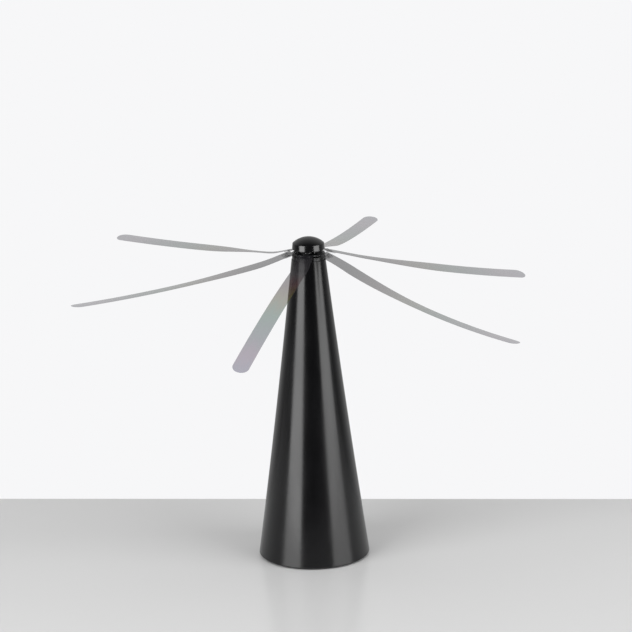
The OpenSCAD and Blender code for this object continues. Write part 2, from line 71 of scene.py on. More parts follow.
# ---------------------------------------------------------------- studio
# A plain pale table with a pale wall far behind it, lit by a tall soft
# light on each side and a wide one overhead. None of it is the fan.
table_back = 0.135
table_size = (3.0, 0.46, 0.03)
table_turn = math.radians(-3.6)
table_tones = (0.59, 0.62)
side_distance = 1.3
top_distance = 0.2
aim_height = 0.12


def new_material(name):
    """Starts a material. Returns it with its node maker, its link maker and its principled shader."""
    material = bpy.data.materials.new(name)
    material.use_nodes = True
    tree = material.node_tree
    shader = tree.nodes["Principled BSDF"]

    def node(kind, **settings):
        made = tree.nodes.new(kind)
        for key, value in settings.items():
            if key in made.inputs:
                made.inputs[key].default_value = value
            else:
                setattr(made, key, value)
        return made

    return material, node, tree.links.new, shader


def table_finish():
    """Pale satin board: two close greys in soft clouds under a light sheen."""
    material, node, link, shader = new_material("pale_table")
    place = node("ShaderNodeTexCoord")
    cloud = node("ShaderNodeTexNoise", Scale=3.0, Detail=3.0)
    tone = node("ShaderNodeValToRGB")
    for element, grey in zip(tone.color_ramp.elements, table_tones):
        element.color = (grey, grey, grey, 1)
    link(place.outputs["Object"], cloud.inputs["Vector"])
    link(cloud.outputs["Fac"], tone.inputs["Fac"])
    link(tone.outputs["Color"], shader.inputs["Base Color"])
    shader.inputs["Roughness"].default_value = 0.2
    shader.inputs["Specular IOR Level"].default_value = 0.45
    return material


table_mesh = bpy.data.meshes.new("table")
table_build = bmesh.new()
bmesh.ops.create_cube(table_build, size=1.0)
bmesh.ops.scale(table_build, vec=table_size, verts=table_build.verts)
bmesh.ops.translate(
    table_build,
    vec=(0, table_back - table_size[1] / 2, -table_size[2] / 2),
    verts=table_build.verts,
)
bmesh.ops.rotate(table_build, matrix=Matrix.Rotation(table_turn, 3, "Z"), verts=table_build.verts)
table_build.to_mesh(table_mesh)
table_build.free()
table = bpy.data.objects.new("table", table_mesh)
bpy.context.scene.collection.objects.link(table)
table_mesh.materials.append(table_finish())


def soft_light(name, azimuth, size, centre_z, power, distance=side_distance, mirrored=True):
    """A rectangular light that faces the fan from an angle about Z, 0 on the camera's side and + to the
    right. It stands at (distance sin angle, -distance cos angle, centre_z)."""
    lamp = bpy.data.lights.new(name, "AREA")
    lamp.shape = "RECTANGLE"
    lamp.size, lamp.size_y = size
    lamp.energy = power
    light = bpy.data.objects.new(name, lamp)
    light.visible_glossy = mirrored
    bpy.context.scene.collection.objects.link(light)
    angle = math.radians(azimuth)
    light.location = (distance * math.sin(angle), -distance * math.cos(angle), centre_z)
    aim = Vector((0, 0, aim_height)) - light.location
    light.rotation_euler = aim.to_track_quat("-Z", "Y").to_euler()


soft_light("left_softbox", azimuth=-47, size=(1.0, 1.6), centre_z=0.55, power=22)
soft_light("right_softbox", azimuth=60, size=(1.1, 1.6), centre_z=0.55, power=19)
soft_light("top_softbox", 0, (2.6, 2.6), centre_z=2.2, power=25, distance=top_distance, mirrored=False)

# The wall is the world: pale to look at, and to the surfaces that mirror it
# bright behind the fan and dim in front of it, as a studio is.
wall_tone = (0.93, 0.93, 0.94, 1)
wall_dim, wall_bright = 0.05, 0.60
wall_blend = 0.7
world = bpy.data.worlds.new("wall")
bpy.context.scene.world = world
world.use_nodes = True
wall_nodes = world.node_tree.nodes
wall_links = world.node_tree.links
wall_nodes.clear()
wall_place = wall_nodes.new("ShaderNodeTexCoord")
wall_axes = wall_nodes.new("ShaderNodeSeparateXYZ")
wall_depth = wall_nodes.new("ShaderNodeMapRange")
wall_depth.inputs["From Min"].default_value = 0.0
wall_depth.inputs["From Max"].default_value = wall_blend
wall_depth.inputs["To Min"].default_value = wall_dim
wall_depth.inputs["To Max"].default_value = wall_bright
wall_path = wall_nodes.new("ShaderNodeLightPath")
wall_seen = wall_nodes.new("ShaderNodeBackground")
wall_seen.inputs["Color"].default_value = wall_tone
wall_lit = wall_nodes.new("ShaderNodeBackground")
wall_mix = wall_nodes.new("ShaderNodeMixShader")
wall_out = wall_nodes.new("ShaderNodeOutputWorld")
wall_links.new(wall_place.outputs["Generated"], wall_axes.inputs[0])
wall_links.new(wall_axes.outputs["Y"], wall_depth.inputs["Value"])
wall_links.new(wall_depth.outputs["Result"], wall_lit.inputs["Strength"])
wall_links.new(wall_path.outputs["Is Camera Ray"], wall_mix.inputs["Fac"])
wall_links.new(wall_lit.outputs[0], wall_mix.inputs[1])
wall_links.new(wall_seen.outputs[0], wall_mix.inputs[2])
wall_links.new(wall_mix.outputs[0], wall_out.inputs["Surface"])


# ---------------------------------------------------------------- cone shell
# One hollow injection moulding in black satin ABS, open at both ends, with a
# softened lower rim. The neck cap drops into its top and the base plate is
# screwed up into three bosses inside it.
rim_low, rim_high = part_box("cone_shell")
neck_low, neck_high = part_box("neck_cap")
base_radius = rim_high.x
collar_radius = neck_high.x
collar_step = 0.45 * MM
shoulder_radius = collar_radius + collar_step
cone_flare = 0.9 * MM
cone_wall = 2.2 * MM
boss_radius, boss_distance = 3.4 * MM, 36.84 * MM
boss_low, boss_high = 4.6 * MM, 17.6 * MM
boss_angles = np.radians([90, 210, 330])
screw_hole, screw_hole_depth = 1.2 * MM, 11.0 * MM
rib_half = 1.2 * MM
rim_z, shoulder_z = rim_low.z, rim_high.z


def grid_piece(name, points, around=False, along=False, mapped=None):
    """Joins a grid of points, rows by columns, with four-sided faces.
    Face (i, j) has the corners (i, j), (i, j+1), (i+1, j+1), (i+1, j). `around` closes the columns and
    `along` closes the rows. Rows that shrink to one point are merged, so poles are closed. `mapped` gives
    the UV map as one value for each row and one for each column."""
    rows, columns = points.shape[:2]
    i, j = np.meshgrid(
        np.arange(rows if along else rows - 1),
        np.arange(columns if around else columns - 1),
        indexing="ij",
    )
    below, beside = (i + 1) % rows, (j + 1) % columns
    corners = [i * columns + j, i * columns + beside, below * columns + beside, below * columns + j]
    quads = np.stack(corners, axis=-1).reshape(-1, 4)
    mesh = bpy.data.meshes.new(name)
    mesh.from_pydata(points.reshape(-1, 3).tolist(), [], quads.tolist())
    if mapped is not None:
        rows_at, columns_at = np.divmod(quads.ravel(), columns)
        spots = np.stack([mapped[0][rows_at], mapped[1][columns_at]], axis=-1)
        mesh.uv_layers.new(name="UVMap").data.foreach_set("uv", spots.ravel())
    build = bmesh.new()
    build.from_mesh(mesh)
    bmesh.ops.remove_doubles(build, verts=build.verts, dist=1e-7)
    bmesh.ops.dissolve_degenerate(build, edges=build.edges, dist=1e-8)
    bmesh.ops.recalc_face_normals(build, faces=build.faces)
    for face in build.faces:
        face.smooth = True
    build.to_mesh(mesh)
    build.free()
    piece = bpy.data.objects.new(name, mesh)
    bpy.context.scene.collection.objects.link(piece)
    return piece


def rounded(outline, steps=5):
    """Rounds the corners of an outline of (radius, height, fillet).
    A fillet of f replaces its corner by an arc of radius f that touches both sides, at f / tan(half angle)
    from the corner."""
    outline = np.array(outline, float)
    soft = []
    for k, (r, z, fillet) in enumerate(outline):
        here = np.array([r, z])
        if fillet <= 0:
            soft.append(here)
            continue
        before = outline[k - 1, :2] - here
        after = outline[(k + 1) % len(outline), :2] - here
        before /= np.linalg.norm(before)
        after /= np.linalg.norm(after)
        half = math.acos(np.clip(before @ after, -1, 1)) / 2
        middle = (before + after) / np.linalg.norm(before + after)
        centre = here + middle * fillet / math.sin(half)
        start = here + before * fillet / math.tan(half) - centre
        end = here + after * fillet / math.tan(half) - centre
        turn = math.pi - 2 * half
        t = np.linspace(0, 1, steps + 1)[:, None]
        soft.extend(centre + (np.sin((1 - t) * turn) * start + np.sin(t * turn) * end) / math.sin(turn))
    return np.array(soft)


def turned(name, outline, closed=True, segments=192):
    """Turns an outline of (radius r, height z) about the Z axis: (r cos a, r sin a, z), a from 0 to 360."""
    a = np.linspace(0, 2 * np.pi, segments, endpoint=False)
    r, z = outline[:, 0][:, None], outline[:, 1][:, None]
    points = np.stack([r * np.cos(a), r * np.sin(a), z + 0 * a], axis=-1)
    piece = grid_piece(name, points, around=True, along=closed)
    piece.modifiers.new("even_shading", "WEIGHTED_NORMAL").keep_sharp = True
    return piece


def joined(name, parts):
    """Makes one piece out of several closed shells."""
    mesh = bpy.data.meshes.new(name)
    build = bmesh.new()
    for part in parts:
        build.from_mesh(part.data)
        bpy.data.objects.remove(part)
    build.to_mesh(mesh)
    build.free()
    piece = bpy.data.objects.new(name, mesh)
    bpy.context.scene.collection.objects.link(piece)
    piece.modifiers.new("even_shading", "WEIGHTED_NORMAL").keep_sharp = True
    return piece


def shifted(piece, change):
    """Moves every corner of a piece's mesh by a function of their N x 3 array."""
    spots = np.empty(len(piece.data.vertices) * 3)
    piece.data.vertices.foreach_get("co", spots)
    piece.data.vertices.foreach_set("co", np.ascontiguousarray(change(spots.reshape(-1, 3))).ravel())
    return piece


def cone_radius(z):
    """Radius of the cone at height z: a straight taper that bows in by the flare at half height."""
    t = (z - rim_z) / (shoulder_z - rim_z)
    return base_radius + (shoulder_radius - base_radius) * t - 4 * cone_flare * t * (1 - t)


def moulded_plastic(name, colour, roughness, grain=0.02, grain_size=0.35 * MM, smudge=0.05):
    """Moulded plastic: a fine moulded grain as bump, faint smudges and flow marks as roughness."""
    material, node, link, shader = new_material(name)
    place = node("ShaderNodeTexCoord")
    smear = node("ShaderNodeMapping")
    smear.inputs["Scale"].default_value = (1.0, 1.0, 0.25)
    cloud = node("ShaderNodeTexNoise", Scale=45.0, Detail=5.0, Roughness=0.6)
    gloss = node("ShaderNodeMapRange")
    gloss.inputs["From Min"].default_value = 0.3
    gloss.inputs["From Max"].default_value = 0.7
    gloss.inputs["To Min"].default_value = roughness - smudge
    gloss.inputs["To Max"].default_value = roughness + smudge
    tone = node("ShaderNodeValToRGB")
    tone.color_ramp.elements[0].position = 0.35
    tone.color_ramp.elements[0].color = (*[c * 0.85 for c in colour], 1)
    tone.color_ramp.elements[1].position = 0.7
    tone.color_ramp.elements[1].color = (*[c * 1.2 for c in colour], 1)
    fine = node("ShaderNodeTexNoise", Scale=1.0 / grain_size, Detail=2.0)
    bump = node("ShaderNodeBump", Strength=grain, Distance=0.1 * MM)
    link(place.outputs["Object"], smear.inputs["Vector"])
    link(smear.outputs["Vector"], cloud.inputs["Vector"])
    link(cloud.outputs["Fac"], gloss.inputs["Value"])
    link(gloss.outputs["Result"], shader.inputs["Roughness"])
    link(cloud.outputs["Fac"], tone.inputs["Fac"])
    link(tone.outputs["Color"], shader.inputs["Base Color"])
    link(place.outputs["Object"], fine.inputs["Vector"])
    link(fine.outputs["Fac"], bump.inputs["Height"])
    link(bump.outputs["Normal"], shader.inputs["Normal"])
    shader.inputs["IOR"].default_value = 1.52
    return material


def screw_boss(angle):
    """A post turned about its own axis, with a blind screw hole up its foot, moved out from the cone's axis
    to the boss distance, and the flat rib that runs on from it into the wall: a box from boss_low to
    boss_high."""
    way = np.array([math.cos(angle), math.sin(angle), 0])
    side = np.array([-math.sin(angle), math.cos(angle), 0])
    boss = turned("boss", boss_outline, closed=False, segments=48)
    corners = np.array([(-1, -1), (1, -1), (1, 1), (-1, 1)]) * [rib_reach, rib_half]
    ring = rib_middle * way + corners[:, :1] * way + corners[:, 1:] * side
    centre = np.repeat(rib_middle * way[None], 4, axis=0)
    low, high = [0, 0, boss_low], [0, 0, boss_high]
    rib = np.stack([centre + low, ring + low, ring + high, centre + high])
    return [shifted(boss, lambda p: p + boss_distance * way), grid_piece("rib", rib, around=True)]


shoulder_edge, rim_edge = 0.5 * MM, 1.2 * MM
heights = np.linspace(shoulder_z - shoulder_edge, rim_z + rim_edge, 60)
outer = np.stack([cone_radius(heights), heights, 0 * heights], axis=-1)
inner = outer[::-1] - [cone_wall, 0, 0]
cone_outline = rounded(
    np.concatenate([
        [(cone_radius(shoulder_z), shoulder_z, 0.3 * MM)], outer,
        [(cone_radius(rim_z), rim_z, 0.7 * MM), (cone_radius(rim_z) - cone_wall, rim_z, 0.3 * MM)], inner,
        [(cone_radius(shoulder_z) - cone_wall, shoulder_z, 0.2 * MM)],
    ])
)
hole_top = boss_low + screw_hole_depth
boss_outline = rounded([
    (0, hole_top, 0), (screw_hole, hole_top, 0), (screw_hole, boss_low, 0.1 * MM),
    (boss_radius, boss_low, 0.3 * MM), (boss_radius, boss_high, 0.3 * MM), (0, boss_high, 0),
])
rib_inner = boss_distance + boss_radius / 2
rib_outer = cone_radius(boss_high) - cone_wall / 2
rib_middle = (rib_inner + rib_outer) / 2
rib_reach = rib_outer - rib_middle
cone_parts = [turned("cone_wall", cone_outline, segments=256)]
for a in boss_angles:
    cone_parts += screw_boss(a)
cone = joined("cone_moulding", cone_parts)
cone_plastic = moulded_plastic("satin_black_abs", (0.0025, 0.0025, 0.0030), 0.22)
cone.data.materials.append(cone_plastic)
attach(cone, "stand")
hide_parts("cone_shell")

# ---------------------------------------------------------------- neck cap
# Moulded in the same black plastic as the cone. Its spigot drops into the
# cone's top, the motor hangs from it, and its collar stands on the shoulder.
spigot_radius = 11.3 * MM
boss_hole = 3.15 * MM
stem_hole = 4.0 * MM
motor_boss_room = 1.8 * MM
boss_hole_top = neck_low.z + motor_boss_room

neck_outline = rounded([
    (boss_hole, neck_low.z, 0.2 * MM), (spigot_radius, neck_low.z, 0.3 * MM),
    (spigot_radius, shoulder_z, 0), (collar_radius, shoulder_z, 0.15 * MM),
    (collar_radius, neck_high.z, 0.4 * MM), (stem_hole, neck_high.z, 0.25 * MM),
    (stem_hole, boss_hole_top, 0), (boss_hole, boss_hole_top, 0),
])
neck = turned("neck_cap_moulding", neck_outline)
neck.data.materials.append(cone_plastic)
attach(neck, "stand")
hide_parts("neck_cap")


# ---------------------------------------------------------------- motor cradle
# A black nylon cup that holds the motor up under the neck cap, with two steel
# screws through its side posts into the cap's spigot.
def finish(material, *names):
    """Gives the CAD pieces of these names one material."""
    for name in names:
        nodes[name].data.materials.clear()
        nodes[name].data.materials.append(material)


def plated_metal(name, colour, roughness, grain=(1, 1, 12), stain=0.12):
    """Plated or drawn metal: fine marks along Z as bump, cloudy tarnish in its colour and roughness."""
    material, node, link, shader = new_material(name)
    place = node("ShaderNodeTexCoord")
    cloud = node("ShaderNodeTexNoise", Scale=260.0, Detail=4.0)
    tone = node("ShaderNodeValToRGB")
    tone.color_ramp.elements[0].position = 0.3
    tone.color_ramp.elements[0].color = (*[c * (1 - 2 * stain) for c in colour], 1)
    tone.color_ramp.elements[1].position = 0.65
    tone.color_ramp.elements[1].color = (*colour, 1)
    gloss = node("ShaderNodeMapRange")
    gloss.inputs["To Min"].default_value = roughness + stain
    gloss.inputs["To Max"].default_value = roughness - stain / 2
    drawn = node("ShaderNodeMapping")
    drawn.inputs["Scale"].default_value = [1 / g for g in grain]
    marks = node("ShaderNodeTexNoise", Scale=6000.0, Detail=2.0)
    bump = node("ShaderNodeBump", Strength=0.08, Distance=0.02 * MM)
    link(place.outputs["Object"], cloud.inputs["Vector"])
    link(cloud.outputs["Fac"], tone.inputs["Fac"])
    link(cloud.outputs["Fac"], gloss.inputs["Value"])
    link(tone.outputs["Color"], shader.inputs["Base Color"])
    link(gloss.outputs["Result"], shader.inputs["Roughness"])
    link(place.outputs["Object"], drawn.inputs["Vector"])
    link(drawn.outputs["Vector"], marks.inputs["Vector"])
    link(marks.outputs["Fac"], bump.inputs["Height"])
    link(bump.outputs["Normal"], shader.inputs["Normal"])
    shader.inputs["Metallic"].default_value = 1.0
    return material


inner_plastic = moulded_plastic("black_nylon", (0.016, 0.016, 0.017), 0.48, grain=0.25, grain_size=0.6 * MM)
zinc = plated_metal("zinc_plated_steel", (0.62, 0.63, 0.60), 0.34)
finish(inner_plastic, "motor_cradle")
finish(zinc, "cradle_screws")

# ---------------------------------------------------------------- motor housing
# A small brushed motor with two flats: a nickel plated can drawn from steel,
# two ferrite magnets inside it, and a white nylon end cap with brass terminals.
nickel = plated_metal("nickel_plated_can", (0.66, 0.65, 0.61), 0.26, grain=(1, 1, 30))
brass = plated_metal("brass_terminal", (0.78, 0.57, 0.24), 0.30)
copper = plated_metal("brush_copper", (0.82, 0.43, 0.27), 0.32)
white_nylon = moulded_plastic("white_nylon", (0.68, 0.67, 0.62), 0.42, grain=0.15, grain_size=0.5 * MM)


def ferrite_finish():
    """Sintered ferrite: a dark grey ground with a gritty two-scale speckle, matt with a few glints."""
    material, node, link, shader = new_material("sintered_ferrite")
    place = node("ShaderNodeTexCoord")
    grit = node("ShaderNodeTexVoronoi", Scale=2600.0)
    speckle = node("ShaderNodeTexNoise", Scale=900.0, Detail=6.0)
    tone = node("ShaderNodeValToRGB")
    tone.color_ramp.elements[0].color = (0.018, 0.018, 0.020, 1)
    tone.color_ramp.elements[1].color = (0.085, 0.082, 0.085, 1)
    bump = node("ShaderNodeBump", Strength=0.4, Distance=0.05 * MM)
    link(place.outputs["Object"], grit.inputs["Vector"])
    link(place.outputs["Object"], speckle.inputs["Vector"])
    link(speckle.outputs["Fac"], tone.inputs["Fac"])
    link(tone.outputs["Color"], shader.inputs["Base Color"])
    link(grit.outputs["Distance"], bump.inputs["Height"])
    link(bump.outputs["Normal"], shader.inputs["Normal"])
    shader.inputs["Roughness"].default_value = 0.75
    return material


finish(nickel, "motor_can")
finish(white_nylon, "motor_end_cap")
finish(brass, "motor_terminals")
finish(ferrite_finish(), "motor_magnets")
finish(copper, "motor_brushes")


# ---------------------------------------------------------------- armature
# A ground steel shaft carries three laminated steel poles, each wound with
# enamelled copper wire, and a copper commutator that the brushes rub on.
def striped(name, light, dark, pitch, direction, metallic, roughness):
    """Fine even ridges `pitch` apart, stacked along Z or in rings about it, as colour and bump."""
    material, node, link, shader = new_material(name)
    place = node("ShaderNodeTexCoord")
    ridge = node("ShaderNodeTexWave", Scale=2 * math.pi / (20 * pitch), Distortion=0.0)
    ridge.wave_type = direction
    ridge.bands_direction = "Z"
    ridge.rings_direction = "Z"
    tone = node("ShaderNodeValToRGB")
    tone.color_ramp.elements[0].color = (*dark, 1)
    tone.color_ramp.elements[1].position = 0.5
    tone.color_ramp.elements[1].color = (*light, 1)
    bump = node("ShaderNodeBump", Strength=0.6, Distance=pitch / 4)
    link(place.outputs["Object"], ridge.inputs["Vector"])
    link(ridge.outputs["Fac"], tone.inputs["Fac"])
    link(tone.outputs["Color"], shader.inputs["Base Color"])
    link(ridge.outputs["Fac"], bump.inputs["Height"])
    link(bump.outputs["Normal"], shader.inputs["Normal"])
    shader.inputs["Metallic"].default_value = metallic
    shader.inputs["Roughness"].default_value = roughness
    return material


shaft_steel = plated_metal("ground_steel_shaft", (0.68, 0.68, 0.68), 0.18, grain=(1, 1, 0.2))
finish(shaft_steel, "motor_shaft")
laminations = striped(
    "laminated_steel", light=(0.42, 0.42, 0.43), dark=(0.10, 0.10, 0.11), pitch=0.5 * MM,
    direction="BANDS", metallic=1.0, roughness=0.42,
)
finish(laminations, "armature_core")
magnet_wire = striped(
    "enamelled_copper_wire", light=(0.72, 0.27, 0.09), dark=(0.16, 0.04, 0.02), pitch=0.22 * MM,
    direction="RINGS", metallic=0.7, roughness=0.28,
)
finish(magnet_wire, "armature_windings")
commutator_copper = plated_metal(
    "commutator_copper", (0.86, 0.47, 0.30), 0.24, grain=(1, 1, 0.1), stain=0.2
)
finish(commutator_copper, "commutator")


# ---------------------------------------------------------------- battery box
# A black box moulded to stand on the base plate round two AA cells. Two nickel
# plated contacts are pressed through its roof, and one carries a coil spring.
spring_radius = 3.6 * MM
spring_wire = 0.7 * MM
spring_turns = 3
flat_share = 0.08
cell_x = 7.3 * MM


def swept(name, path, radius, sides=12):
    """A round rod of one radius along a path. At each point the path's direction t, and two directions
    across it, u = t x Z and v = t x u, give the ring: point + radius (u cos b + v sin b)."""
    t = np.gradient(path, axis=0)
    t /= np.linalg.norm(t, axis=1, keepdims=True)
    u = np.cross(t, [0.0, 0.0, 1.0])
    u /= np.linalg.norm(u, axis=1, keepdims=True)
    v = np.cross(t, u)
    b = np.linspace(0, 2 * np.pi, sides, endpoint=False)[None, :, None]
    rings = path[:, None] + radius * (u[:, None] * np.cos(b) + v[:, None] * np.sin(b))
    ends = [np.repeat(path[k][None, None], sides, axis=1) for k in (0, -1)]
    return grid_piece(name, np.concatenate([ends[0], rings, ends[1]]), around=True)


def coil_spring(name, x, node_name):
    """A spring that fills its CAD solid: (x + r cos a, r sin a, z), where z rises evenly between two flat
    ends."""
    low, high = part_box(node_name)
    a = np.linspace(0, 2 * np.pi * spring_turns, 48 * spring_turns + 1)
    rise = np.clip((a / a[-1] - flat_share) / (1 - 2 * flat_share), 0, 1)
    z = low.z + spring_wire / 2 + rise * (high.z - low.z - spring_wire)
    path = np.stack([x + spring_radius * np.cos(a), spring_radius * np.sin(a), z], axis=-1)
    return swept(name, path, spring_wire / 2)


contact_nickel = plated_metal("contact_nickel", (0.70, 0.68, 0.62), 0.24)
upper_spring = coil_spring("upper_coil_spring", cell_x, "spring_upper")
upper_spring.data.materials.append(contact_nickel)
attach(upper_spring, "stand")
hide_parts("spring_upper")
finish(inner_plastic, "battery_box")
finish(contact_nickel, "contact_positive", "contact_negative")

# ---------------------------------------------------------------- cells
# Two plain AA cells side by side, one each way up. The steel can is in a green
# shrink wrap with a copper band at the button end, rolled over both shoulders.
cell_radius = 7.1 * MM
button_radius, button_height = 2.75 * MM, 1.3 * MM
wrap_edge = 5.6 * MM
wrap_thick = 0.3 * MM
band_share = 0.26


def wrap_finish(name, low_z, high_z, band_low):
    """Glossy wrap: dark green with a copper band over one end's quarter, slightly uneven in gloss."""
    material, node, link, shader = new_material(name)
    place = node("ShaderNodeTexCoord")
    axes = node("ShaderNodeSeparateXYZ")
    height = node("ShaderNodeMapRange")
    height.inputs["From Min"].default_value = low_z
    height.inputs["From Max"].default_value = high_z
    tone = node("ShaderNodeValToRGB")
    tone.color_ramp.interpolation = "CONSTANT"
    green, band = (0.012, 0.075, 0.038, 1), (0.42, 0.17, 0.07, 1)
    tone.color_ramp.elements[0].color = band if band_low else green
    tone.color_ramp.elements[1].position = band_share if band_low else 1 - band_share
    tone.color_ramp.elements[1].color = green if band_low else band
    cloud = node("ShaderNodeTexNoise", Scale=120.0, Detail=3.0)
    gloss = node("ShaderNodeMapRange")
    gloss.inputs["To Min"].default_value = 0.16
    gloss.inputs["To Max"].default_value = 0.34
    bump = node("ShaderNodeBump", Strength=0.12, Distance=0.05 * MM)
    link(place.outputs["Object"], axes.inputs[0])
    link(axes.outputs["Z"], height.inputs["Value"])
    link(height.outputs["Result"], tone.inputs["Fac"])
    link(tone.outputs["Color"], shader.inputs["Base Color"])
    link(place.outputs["Object"], cloud.inputs["Vector"])
    link(cloud.outputs["Fac"], gloss.inputs["Value"])
    link(gloss.outputs["Result"], shader.inputs["Roughness"])
    link(cloud.outputs["Fac"], bump.inputs["Height"])
    link(bump.outputs["Normal"], shader.inputs["Normal"])
    return material


def cell(name, node_name, x, button_up):
    """A can turned about its own axis, its wrap rolled over both shoulders, with a button at one end."""
    low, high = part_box(node_name)
    tall = high.z - low.z
    shoulder = tall - button_height
    lip = wrap_edge + wrap_thick
    outline = rounded([
        (0, 0.25 * MM, 0), (wrap_edge, 0.25 * MM, 0), (lip, 0, 0.1 * MM), (cell_radius, 0, 0.7 * MM),
        (cell_radius, shoulder, 0.7 * MM), (lip, shoulder, 0.1 * MM), (wrap_edge, shoulder - wrap_thick, 0),
        (button_radius, shoulder - wrap_thick, 0.1 * MM), (button_radius, tall, 0.45 * MM), (0, tall, 0),
    ])
    if not button_up:
        outline = (outline * [1, -1] + [0, tall])[::-1]
    can = turned(name, outline + [0, low.z], closed=False, segments=96)
    piece = shifted(can, lambda p: p + [x, 0, 0])
    piece.data.materials.append(wrap_finish(name + "_wrap", low.z, high.z, not button_up))
    piece.data.materials.append(contact_nickel)
    centres = np.empty(len(piece.data.polygons) * 3)
    piece.data.polygons.foreach_get("center", centres)
    centres = centres.reshape(-1, 3) - [x, 0, 0]
    bare = np.hypot(centres[:, 0], centres[:, 1]) < wrap_edge + 0.1 * MM
    piece.data.polygons.foreach_set("material_index", bare.astype(np.int32))
    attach(piece, "stand")
    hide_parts(node_name)


cell("cell_button_up", "battery_1", -cell_x, True)
cell("cell_button_down", "battery_2", cell_x, False)

# ---------------------------------------------------------------- wires
# Three PVC covered wires: two up the cone to the motor's terminals, and one
# from the cells down to the switch. They are soldered at both ends.
finish(moulded_plastic("red_pvc", (0.42, 0.012, 0.010), 0.38, grain=0.1), "wire_red", "wire_switch")
finish(moulded_plastic("black_pvc", (0.010, 0.010, 0.011), 0.38, grain=0.1), "wire_black")

# ---------------------------------------------------------------- switch
# A slide switch under the base: a folded steel housing with three tinned pins
# and a white nylon slider whose knob comes down through the base plate.
finish(zinc, "switch_body")
finish(plated_metal("tinned_pin", (0.72, 0.72, 0.70), 0.36), "switch_pins")
finish(white_nylon, "switch_slider")

# ---------------------------------------------------------------- base plate
# A round black plate with a coarser moulded grain, held up inside the cone's
# rim by three zinc plated cross head screws.
coarse_grain = 0.45 * MM
base_plastic = moulded_plastic(
    "grained_black_abs", (0.014, 0.014, 0.015), 0.52, grain=0.5, grain_size=coarse_grain
)
finish(base_plastic, "base_plate")
finish(zinc, "base_screws")

# ---------------------------------------------------------------- rubber feet
# Three soft rubber discs glued into shallow seats in the base plate, so that
# the cone's rim stays just clear of the table.
foot_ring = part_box("rubber_feet")
foot_radius = 5.0 * MM
foot_bevel_in, foot_bevel_up = 0.5 * MM, 0.6 * MM
foot_angles = np.radians([30, 150, 270])
foot_distance = -foot_ring[0].y - foot_radius


def rubber_finish():
    """Dull soft rubber: dark grey with a fine pitted bump and a bloom that lightens it in patches."""
    material, node, link, shader = new_material("soft_rubber")
    place = node("ShaderNodeTexCoord")
    bloom = node("ShaderNodeTexNoise", Scale=350.0, Detail=6.0, Roughness=0.7)
    tone = node("ShaderNodeValToRGB")
    tone.color_ramp.elements[0].position = 0.35
    tone.color_ramp.elements[0].color = (0.018, 0.018, 0.019, 1)
    tone.color_ramp.elements[1].position = 0.75
    tone.color_ramp.elements[1].color = (0.055, 0.054, 0.053, 1)
    pits = node("ShaderNodeTexNoise", Scale=2500.0, Detail=3.0)
    bump = node("ShaderNodeBump", Strength=0.5, Distance=0.06 * MM)
    link(place.outputs["Object"], bloom.inputs["Vector"])
    link(bloom.outputs["Fac"], tone.inputs["Fac"])
    link(tone.outputs["Color"], shader.inputs["Base Color"])
    link(place.outputs["Object"], pits.inputs["Vector"])
    link(pits.outputs["Fac"], bump.inputs["Height"])
    link(bump.outputs["Normal"], shader.inputs["Normal"])
    shader.inputs["Roughness"].default_value = 0.82
    return material


foot_outline = rounded([
    (0, 0, 0), (foot_radius - foot_bevel_in, 0, 0.3 * MM), (foot_radius, foot_bevel_up, 0.4 * MM),
    (foot_radius, foot_ring[1].z, 0), (0, foot_ring[1].z, 0),
])
feet = joined("rubber_foot_discs", [
    shifted(turned("foot", foot_outline, closed=False, segments=64),
            lambda p, a=a: p + [foot_distance * math.cos(a), foot_distance * math.sin(a), 0])
    for a in foot_angles
])
feet.data.materials.append(rubber_finish())
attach(feet, "stand")
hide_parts("rubber_feet")

# ---------------------------------------------------------------- battery door
# A door that pushes into the base plate, in the same grained plastic, with a
# ribbed grip. It carries the bridge that joins the cells, and its spring.
lower_spring = coil_spring("lower_coil_spring", -cell_x, "spring_lower")
lower_spring.data.materials.append(contact_nickel)
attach(lower_spring, "battery_door")
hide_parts("spring_lower")
finish(base_plastic, "battery_door")
finish(contact_nickel, "door_bridge")

# ---------------------------------------------------------------- rotor hub
# One moulding pressed on the shaft: a stem through the neck cap, a flange that
# shows as a thin bright ring, a core, and two ears for each blade's hinge.
hub_low, hub_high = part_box("rotor_hub")
dome_low, dome_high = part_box("dome_cap")
flange_radius = hub_high.x
rotor_gap = 1.0 * MM
flange_thick = 1.4 * MM
flange_low = neck_high.z + rotor_gap
flange_top = flange_low + flange_thick
groove_height = dome_low.z - flange_top
pivot_inset, core_inset = 3.65 * MM, 2.4 * MM
pivot_radius = flange_radius - pivot_inset
pivot_height = flange_top + groove_height / 2
core_radius = pivot_radius - core_inset
core_rise = 0.4 * MM
core_top = dome_low.z + core_rise
bevel_in, bevel_down = 0.8 * MM, 0.5 * MM
shaft_radius = 1.0 * MM
stem_radius = 3.2 * MM
plug_radius = 4.8 * MM
ear_sink = 0.2 * MM
blade_count = 6
first_blade = 20.0
barrel_room = 0.1 * MM
barrel_radius = groove_height / 2 - barrel_room
barrel_width = 6.0 * MM
ear_width = 1.2 * MM
ear_gap = 0.1 * MM


def bar(name, outline, low, high, soft):
    """An outline of (x, z) carried along Y from low to high, its two ends drawn in by `soft` to round
    their edges: rows run centre, drawn in, full, full, drawn in, centre."""
    outline = np.array(outline)
    middle = outline.mean(axis=0)
    reach = np.linalg.norm(outline - middle, axis=1, keepdims=True)
    drawn_in = middle + (outline - middle) * (1 - soft / reach)
    point = np.repeat(middle[None], len(outline), axis=0)
    rows = [(point, low), (drawn_in, low), (outline, low + soft), (outline, high - soft), (drawn_in, high),
            (point, high)]
    points = np.stack([np.stack([o[:, 0], y + 0 * o[:, 0], o[:, 1]], axis=-1) for o, y in rows])
    return grid_piece(name, points, around=True)


